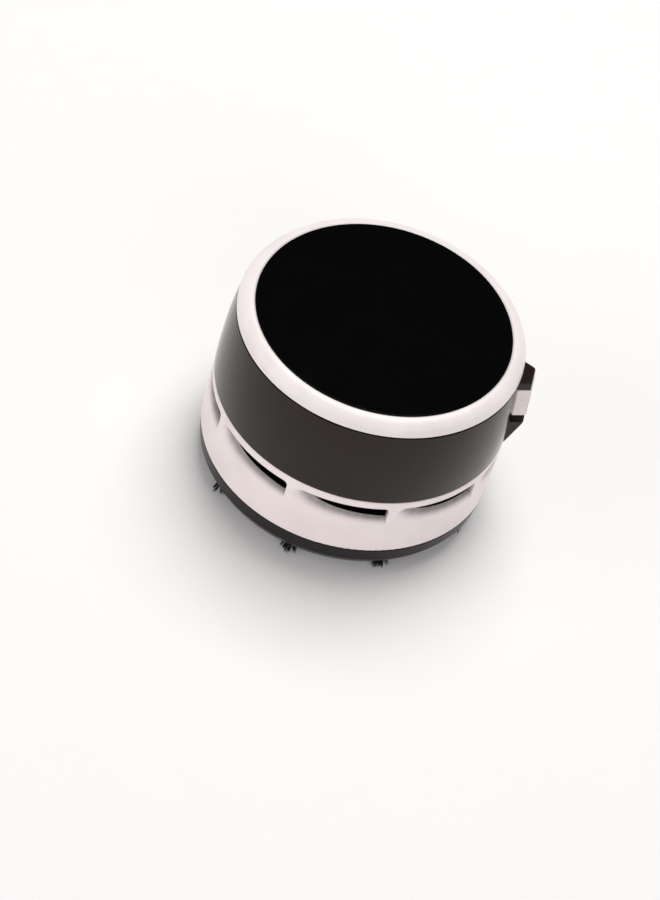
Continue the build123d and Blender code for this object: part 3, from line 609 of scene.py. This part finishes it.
def new_piece(name, mesh_maker, material, body):
    """Object made by a mesh function, with its material, body and slot."""
    work = bmesh.new()
    mesh_maker(work)
    bmesh.ops.recalc_face_normals(work, faces=work.faces)
    mesh = bpy.data.meshes.new(name)
    work.to_mesh(mesh)
    work.free()
    for polygon in mesh.polygons:
        polygon.use_smooth = True
    mesh.materials.append(material)
    piece = bpy.data.objects.new(name, mesh)
    bpy.context.scene.collection.objects.link(piece)
    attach(piece, body)
    return piece


def polar(angle, reach, height=0.0):
    """Place at an angle round the axis, a distance from it and a height."""
    return Vector((reach * math.cos(angle), reach * math.sin(angle), height))


def even_turns(count):
    """Angles that divide a full turn evenly."""
    return [2 * math.pi * k / count for k in range(count)]


def join_rings(work, rings):
    """Faces between each ring of vertices and the next."""
    for lower, upper in zip(rings, rings[1:]):
        for k in range(len(lower)):
            work.faces.new((lower[k - 1], lower[k], upper[k], upper[k - 1]))


def close_ring(work, ring, point):
    """Faces from a ring of vertices to one point."""
    for k in range(len(ring)):
        work.faces.new((ring[k - 1], ring[k], point))


def add_strand(work, root, bend, tip, radius, sides=5, steps=5, taper=0.45):
    """Thin tapered strand along a bent line, closed at both ends."""
    across = (tip - root).orthogonal().normalized()
    other = (tip - root).normalized().cross(across)
    ways = [math.cos(angle) * across + math.sin(angle) * other for angle in even_turns(sides)]
    rings = []
    for step in range(steps):
        t = step / steps
        middle = (1 - t) ** 2 * root + 2 * t * (1 - t) * bend + t ** 2 * tip
        thick = radius * (1 - taper * t)
        rings.append([work.verts.new(middle + thick * way) for way in ways])
    join_rings(work, rings)
    close_ring(work, rings[-1], work.verts.new(tip))
    work.faces.new(rings[0])


def add_turned(work, profile, segments, middle=Vector()):
    """Closed turned form from a profile of (radius, height) that starts and ends on the axis."""
    low, high = (work.verts.new(middle + Vector((0, 0, profile[k][1]))) for k in (0, -1))
    rings = [[work.verts.new(middle + polar(angle, radius, height)) for angle in even_turns(segments)]
             for radius, height in profile[1:-1]]
    join_rings(work, rings)
    close_ring(work, rings[0], low)
    close_ring(work, rings[-1], high)


def tuft_maker(number, sizes):
    """Mesh function for one ragged tuft: a plug and pointed locks of strands."""
    plug_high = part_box(f"bristle_tuft_{number}")[1].z
    plug_low = BASE_LOW_Z + sizes.plug_inset
    middle = node_middle(f"bristle_tuft_{number}").to_2d().to_3d()
    field_r = sizes.field * sizes.plug_r
    chance = random.Random(number)

    def lock_tips():
        """Places that the strands' tips gather at."""
        tips = []
        for k in range(sizes.locks):
            angle = 2 * math.pi * (k + chance.random()) / sizes.locks
            reach = field_r * sizes.splay * chance.uniform(sizes.nearest, 1.0)
            tips.append(polar(angle, reach))
        return tips

    def add_plug(work):
        """Round plug with bevelled edges."""
        plug_r, rim = sizes.plug_r, sizes.plug_rim
        profile = [(0, plug_low), (plug_r - rim, plug_low), (plug_r, plug_low + rim),
                   (plug_r, plug_high - rim), (plug_r - rim, plug_high), (0, plug_high)]
        add_turned(work, profile, segments=32, middle=middle)

    def make(work):
        add_plug(work)
        locks = lock_tips()
        for _ in range(sizes.strands):
            angle = chance.uniform(0, 2 * math.pi)
            start = polar(angle, field_r * math.sqrt(chance.random()))
            lock = min(locks, key=lambda place: (place - sizes.splay * start).length)
            astray = Vector((chance.gauss(0, 1), chance.gauss(0, 1), 0)) * sizes.stray
            end = sizes.gather * lock + (1 - sizes.gather) * sizes.splay * start + astray
            end.z = chance.random() ** 2 * sizes.ragged
            root = middle + start
            root.z = plug_low + sizes.root_depth
            tip = middle + end
            bend = root.lerp(tip, 0.5) - sizes.bow * (end - start).to_2d().to_3d()
            add_strand(work, root, bend, tip, sizes.strand_d / 2)

    return make


def felt_maker(sizes):
    """Mesh function for the felt disc with uneven faces and loose fibres."""
    low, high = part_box("filter_felt")
    outer_r = node_radius("filter_felt")
    middle_z = (low.z + high.z) / 2
    chance = random.Random(FELT_SEED)

    def add_disc(work):
        """Flat disc with a rounded rim."""
        rings = 26
        flat_r = outer_r - sizes.rounding
        radii = [flat_r * k / rings for k in range(1, rings + 1)]
        lower = [(0, low.z), *((r, low.z) for r in radii), (outer_r, low.z + sizes.rounding)]
        upper = [(0, high.z), *((r, high.z) for r in radii), (outer_r, high.z - sizes.rounding)]
        add_turned(work, lower + upper[::-1], segments=120)

    def roughen(work):
        """Presses both faces in unevenly, with noise in waves a metre."""
        coarse, fine, fine_share = 900, 2300, 0.6
        for vertex in work.verts:
            rough = noise.noise(vertex.co * coarse) + fine_share * noise.noise(vertex.co * fine)
            inward = -1 if vertex.co.z > middle_z else 1
            vertex.co.z += inward * sizes.nap * (1 + rough) / 2

    def add_fibre(work):
        """Loose fibre that lies bowed on the upper face."""
        angle = chance.uniform(0, 2 * math.pi)
        reach = outer_r * sizes.fibre_field * math.sqrt(chance.random())
        heading = chance.uniform(0, 2 * math.pi)
        run = sizes.fibre_l * chance.uniform(sizes.fibre_shortest, 1.0)
        start = polar(angle, reach, high.z - sizes.nap)
        end = start + polar(heading, run)
        if end.to_2d().length > outer_r:
            end = start - (end - start)
        bend = start.lerp(end, 0.5)
        bend.x += chance.uniform(-sizes.fibre_curl, sizes.fibre_curl) * run
        bend.z += sizes.fibre_lift
        add_strand(work, start, bend, end, sizes.fibre_d / 2, sides=3, steps=4)

    def make(work):
        add_disc(work)
        roughen(work)
        for _ in range(sizes.fibres):
            add_fibre(work)

    return make


def camera_axes(azimuth, elevation, roll):
    """Camera axes as columns: right, up and backwards."""
    back = Vector((0, -math.cos(elevation), math.sin(elevation)))
    level = Vector((1, 0, 0))
    upright = back.cross(level)
    right = math.cos(roll) * level + math.sin(roll) * upright
    up = math.cos(roll) * upright - math.sin(roll) * level
    axes = Matrix((right, up, back)).transposed()
    return Matrix.Rotation(azimuth, 3, "Z") @ axes


def add_camera(studio):
    """Camera at the photograph's viewing angle."""
    axes = camera_axes(studio.azimuth, studio.elevation, studio.roll)
    target = Vector((0, 0, BASE_LOW_Z))
    lens = bpy.data.cameras.new("camera")
    lens.sensor_fit = "AUTO"
    lens.sensor_width = SENSOR_WIDTH
    lens.lens = studio.lens
    camera = bpy.data.objects.new("camera", lens)
    place = target + axes @ Vector((studio.aside, studio.raised, studio.distance))
    camera.matrix_world = Matrix.Translation(place) @ axes.to_4x4()
    bpy.context.scene.collection.objects.link(camera)
    bpy.context.scene.camera = camera


def add_lamp(name, place, size, power, colour):
    """Soft square lamp that looks at the part."""
    data = bpy.data.lights.new(name, "AREA")
    data.shape = "SQUARE"
    data.size = size
    data.energy = power
    data.color = colour
    lamp = bpy.data.objects.new(name, data)
    lamp.location = place
    lamp.rotation_euler = (-place).to_track_quat("-Z", "Y").to_euler()
    bpy.context.scene.collection.objects.link(lamp)


def add_lamps(studio):
    """Overhead lamp and two front lamps, turned with the camera."""
    turn = Matrix.Rotation(studio.azimuth, 3, "Z")
    key, left, right = (turn @ Vector(place)
                        for place in (studio.key_place, studio.left_place, studio.right_place))
    add_lamp("key_lamp", key, studio.key_size, studio.key_power, studio.key_colour)
    add_lamp("left_lamp", left, studio.side_size, studio.left_power, studio.side_colour)
    add_lamp("right_lamp", right, studio.side_size, studio.right_power, studio.side_colour)


def add_sky(colour, low, high):
    """World that is brightest at the horizon and darker overhead."""
    low_rise, high_rise = 0.02, 0.6
    world = bpy.data.worlds.new("studio")
    world.use_nodes = True
    tree = world.node_tree
    tree.nodes.clear()
    direction = tree.nodes.new("ShaderNodeTexCoord").outputs["Generated"]
    rise = add_node(tree, "ShaderNodeSeparateXYZ", {"Vector": direction}).outputs["Z"]
    strength = spread(tree, rise, low_rise, high_rise, low, high)
    background = add_node(tree, "ShaderNodeBackground", {"Color": (*colour, 1), "Strength": strength})
    output = tree.nodes.new("ShaderNodeOutputWorld")
    tree.links.new(background.outputs["Background"], output.inputs["Surface"])
    bpy.context.scene.world = world


def add_floor(radius, colour, lift):
    """Round pale floor under the bristle tips, which stays under the base that stands on it."""
    work = bmesh.new()
    bmesh.ops.create_circle(work, cap_ends=True, segments=96, radius=radius)
    mesh = bpy.data.meshes.new("floor")
    work.to_mesh(mesh)
    work.free()
    mesh.materials.append(floor_surface("floor_pale", colour, lift))
    floor = bpy.data.objects.new("floor", mesh)
    floor.location.z = CAD_BOX[0].z
    bpy.context.scene.collection.objects.link(floor)
    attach(floor, "base")


class VACUUM_OT_shared_effects(bpy.types.Operator):
    """Builds the node groups that the finishes share."""

    bl_idname = "vacuum.shared_effects"
    bl_label = "Shared effects"

    def execute(self, context):
        skin_group()
        edges_group()
        dust_group()
        marks_group()
        brushing_group()
        cell_group()
        return {"FINISHED"}


class VACUUM_OT_shells(bpy.types.Operator):
    """Finishes the disc, cover, band, housing and base."""

    bl_idname = "vacuum.shells"
    bl_label = "Outer shells"

    def execute(self, context):
        look = context.scene.vacuum_shells
        white = {"roughness": look.white_roughness, "rub": look.white_rub, "rubbed": 0.12, "dust": 0.1}
        disc = polished("disc_black", look.disc_black, look.disc_roughness, look.disc_shine,
                        marks=0.2, rubbed=0.06, dust=0.02)
        finish(disc, "top_disc")
        finish(moulding("cover_white", look.cover_white, **white), "top_cover")
        band = polished("band_black", look.band_black, look.band_roughness, look.band_shine,
                        marks=0.35, rubbed=0.25, dust=0.1)
        finish(band, "body_band")
        housing = moulding("housing_white", look.housing_white, **white)
        # Painted shade in the vents and inside the housing.
        add_vent_shade(housing, node_radius("vent_housing"), look)
        finish(housing, "vent_housing")
        base = moulding("base_black", look.base_black, look.base_roughness, look.base_rub,
                        rubbed=0.4, shine=look.base_shine, grain=1700.0, depth=0.012 * MM)
        finish(base, "base_cover")
        return {"FINISHED"}


class VACUUM_OT_bristles(bpy.types.Operator):
    """Makes the ragged bristle tufts under the base."""

    bl_idname = "vacuum.bristles"
    bl_label = "Bristle tufts"

    def execute(self, context):
        sizes = context.scene.vacuum_bristles
        material = nylon("bristle_black", sizes.colour)
        for number in range(1, TUFT_COUNT + 1):
            maker = tuft_maker(number, sizes)
            tuft = new_piece(f"bristles_{number}", maker, material, "base")
            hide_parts(f"bristle_tuft_{number}")
        return {"FINISHED"}


class VACUUM_OT_filter(bpy.types.Operator):
    """Makes the felt disc and finishes the filter's frame and seal."""

    bl_idname = "vacuum.filter"
    bl_label = "Filter"

    def execute(self, context):
        sizes = context.scene.vacuum_felt
        look = context.scene.vacuum_inside
        felt = new_piece("felt_disc", felt_maker(sizes), felt_cloth("felt", sizes.colour), "filter")
        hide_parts("filter_felt")
        finish(moulding("frame_white", look.frame_white, roughness=0.45), "filter_frame")
        seal = moulding("seal_rubber", look.seal_rubber, roughness=0.7, rub=(0.06, 0.06, 0.06),
                        rubbed=0.4, dust=0.4, grain=3200.0, depth=0.01 * MM)
        finish(seal, "dust_seal")
        return {"FINISHED"}


class VACUUM_OT_fan(bpy.types.Operator):
    """Finishes the fan deck and the impeller."""

    bl_idname = "vacuum.fan"
    bl_label = "Fan"

    def execute(self, context):
        look = context.scene.vacuum_inside
        finish(moulding("deck_grey", look.deck_grey, roughness=0.5, rub=DARK_RUB), "fan_deck")
        impeller = moulding("impeller_grey", look.impeller_grey, roughness=0.4, rub=(0.2, 0.2, 0.2))
        finish(impeller, "impeller")
        return {"FINISHED"}


class VACUUM_OT_motor(bpy.types.Operator):
    """Finishes the motor, its shaft, bush, end cap and terminals."""

    bl_idname = "vacuum.motor"
    bl_label = "Motor"

    def execute(self, context):
        look = context.scene.vacuum_inside
        finish(metal("motor_steel", look.zinc, roughness=0.32, streak_z=0.04), "motor_can")
        finish(metal("shaft_steel", look.steel, roughness=0.2, streak_z=6.0), "motor_shaft")
        finish(metal("bush_bronze", look.bronze, roughness=0.38, streak_z=4.0), "motor_bush")
        finish(metal("terminal_brass", look.brass, roughness=0.3, streak_z=0.1), "motor_terminals")
        finish(moulding("bell_black", look.bell_black, roughness=0.45, rub=DARK_RUB), "motor_end_bell")
        return {"FINISHED"}


class VACUUM_OT_chassis(bpy.types.Operator):
    """Finishes the chassis and every screw."""

    bl_idname = "vacuum.chassis"
    bl_label = "Chassis and screws"

    def execute(self, context):
        look = context.scene.vacuum_inside
        finish(moulding("chassis_grey", look.chassis_grey, roughness=0.5, rub=(0.13, 0.13, 0.13)), "chassis")
        screws = metal("screw_steel", look.zinc, roughness=0.3, streak_z=5.0)
        finish(screws, "deck_screws", "housing_screws", "band_screws", "motor_screws")
        return {"FINISHED"}


class VACUUM_OT_batteries(bpy.types.Operator):
    """Finishes the two cells and their contacts."""

    bl_idname = "vacuum.batteries"
    bl_label = "Batteries"

    def execute(self, context):
        look = context.scene.vacuum_inside
        low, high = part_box("battery_left")
        # A cell lies at 45 degrees to x, so its length and thickness add up to root 2 times its box's width.
        radius = (high.z - low.z) / 2
        half_length = (high.x - low.x) / math.sqrt(2) - radius
        for node, plus_end in (("battery_left", SWITCH_DIRECTION), ("battery_right", -SWITCH_DIRECTION)):
            finish(battery_skin(f"{node}_sleeve", look, plus_end, half_length), node)
        contacts = metal("contact_nickel", look.nickel, roughness=0.24, streak_z=0.06)
        finish(contacts, "contact_positive", "contact_negative", "contact_bridge")
        return {"FINISHED"}


class VACUUM_OT_switch(bpy.types.Operator):
    """Finishes the slide knob, its lever and the switch."""

    bl_idname = "vacuum.switch"
    bl_label = "Slide switch"

    def execute(self, context):
        look = context.scene.vacuum_shells
        inside = context.scene.vacuum_inside
        knob = moulding("knob_white", look.knob_white, look.white_roughness, look.white_rub,
                        rubbed=0.15, dust=0.1)
        finish(knob, "switch_knob")
        finish(metal("switch_case", inside.nickel, roughness=0.36, streak_z=0.06), "switch_body")
        finish(moulding("lever_black", inside.bell_black, roughness=0.5, rub=DARK_RUB), "switch_lever")
        return {"FINISHED"}


class VACUUM_OT_wires(bpy.types.Operator):
    """Finishes the three insulated wires."""

    bl_idname = "vacuum.wires"
    bl_label = "Wires"

    def execute(self, context):
        look = context.scene.vacuum_inside
        for node, slot, colour in (("wire_battery", "wire_red", look.wire_red),
                                   ("wire_switch", "wire_white", look.wire_white),
                                   ("wire_motor", "wire_black", look.wire_black)):
            insulation = moulding(slot, colour, roughness=0.4, rubbed=0.0, dust=0.2, grain=1200.0,
                                  depth=0.01 * MM)
            finish(insulation, node)
        return {"FINISHED"}


class VACUUM_OT_stage(bpy.types.Operator):
    """Sets up the camera, the lamps, the sky and the floor."""

    bl_idname = "vacuum.stage"
    bl_label = "Studio"

    def execute(self, context):
        studio = context.scene.vacuum_studio
        context.scene.view_settings.view_transform = "Standard"
        add_camera(studio)
        add_lamps(studio)
        add_sky(studio.sky_colour, studio.sky_low, studio.sky_high)
        add_floor(studio.floor_r, studio.floor_colour, studio.floor_lift)
        return {"FINISHED"}


OPERATORS = (
    VACUUM_OT_shared_effects, VACUUM_OT_shells, VACUUM_OT_bristles, VACUUM_OT_filter, VACUUM_OT_fan,
    VACUUM_OT_motor, VACUUM_OT_chassis, VACUUM_OT_batteries, VACUUM_OT_switch, VACUUM_OT_wires,
    VACUUM_OT_stage)

SETTINGS = {
    "vacuum_shells": ShellFinishes,
    "vacuum_bristles": BristleSizes,
    "vacuum_felt": FeltSizes,
    "vacuum_inside": InnerFinishes,
    "vacuum_studio": StudioSettings,
}


class VACUUM_PT_panel(bpy.types.Panel):
    """Lists the settings and the steps in the sidebar."""

    bl_idname = "VACUUM_PT_panel"
    bl_label = "Desktop vacuum cleaner"
    bl_space_type = "VIEW_3D"
    bl_region_type = "UI"
    bl_category = "Vacuum"

    def draw(self, context):
        for name, group in SETTINGS.items():
            box = self.layout.box()
            box.label(text=group.__doc__)
            for key in group.__annotations__:
                box.prop(getattr(context.scene, name), key)
        for step in OPERATORS:
            self.layout.operator(step.bl_idname)


def register():
    """Adds the settings, the steps and the panel to Blender."""
    for name, group in SETTINGS.items():
        bpy.utils.register_class(group)
        setattr(bpy.types.Scene, name, bpy.props.PointerProperty(type=group))
    for step in OPERATORS:
        bpy.utils.register_class(step)
    bpy.utils.register_class(VACUUM_PT_panel)


def unregister():
    """Takes the panel, the steps and the settings out of Blender again."""
    bpy.utils.unregister_class(VACUUM_PT_panel)
    for step in reversed(OPERATORS):
        bpy.utils.unregister_class(step)
    for name, group in reversed(SETTINGS.items()):
        delattr(bpy.types.Scene, name)
        bpy.utils.unregister_class(group)


def main():
    """Builds the whole scene."""
    register()
    bpy.ops.vacuum.shared_effects()
    bpy.ops.vacuum.shells()
    bpy.ops.vacuum.bristles()
    bpy.ops.vacuum.filter()
    bpy.ops.vacuum.fan()
    bpy.ops.vacuum.motor()
    bpy.ops.vacuum.chassis()
    bpy.ops.vacuum.batteries()
    bpy.ops.vacuum.switch()
    bpy.ops.vacuum.wires()
    bpy.ops.vacuum.stage()


if __name__ == "__main__":
    main()
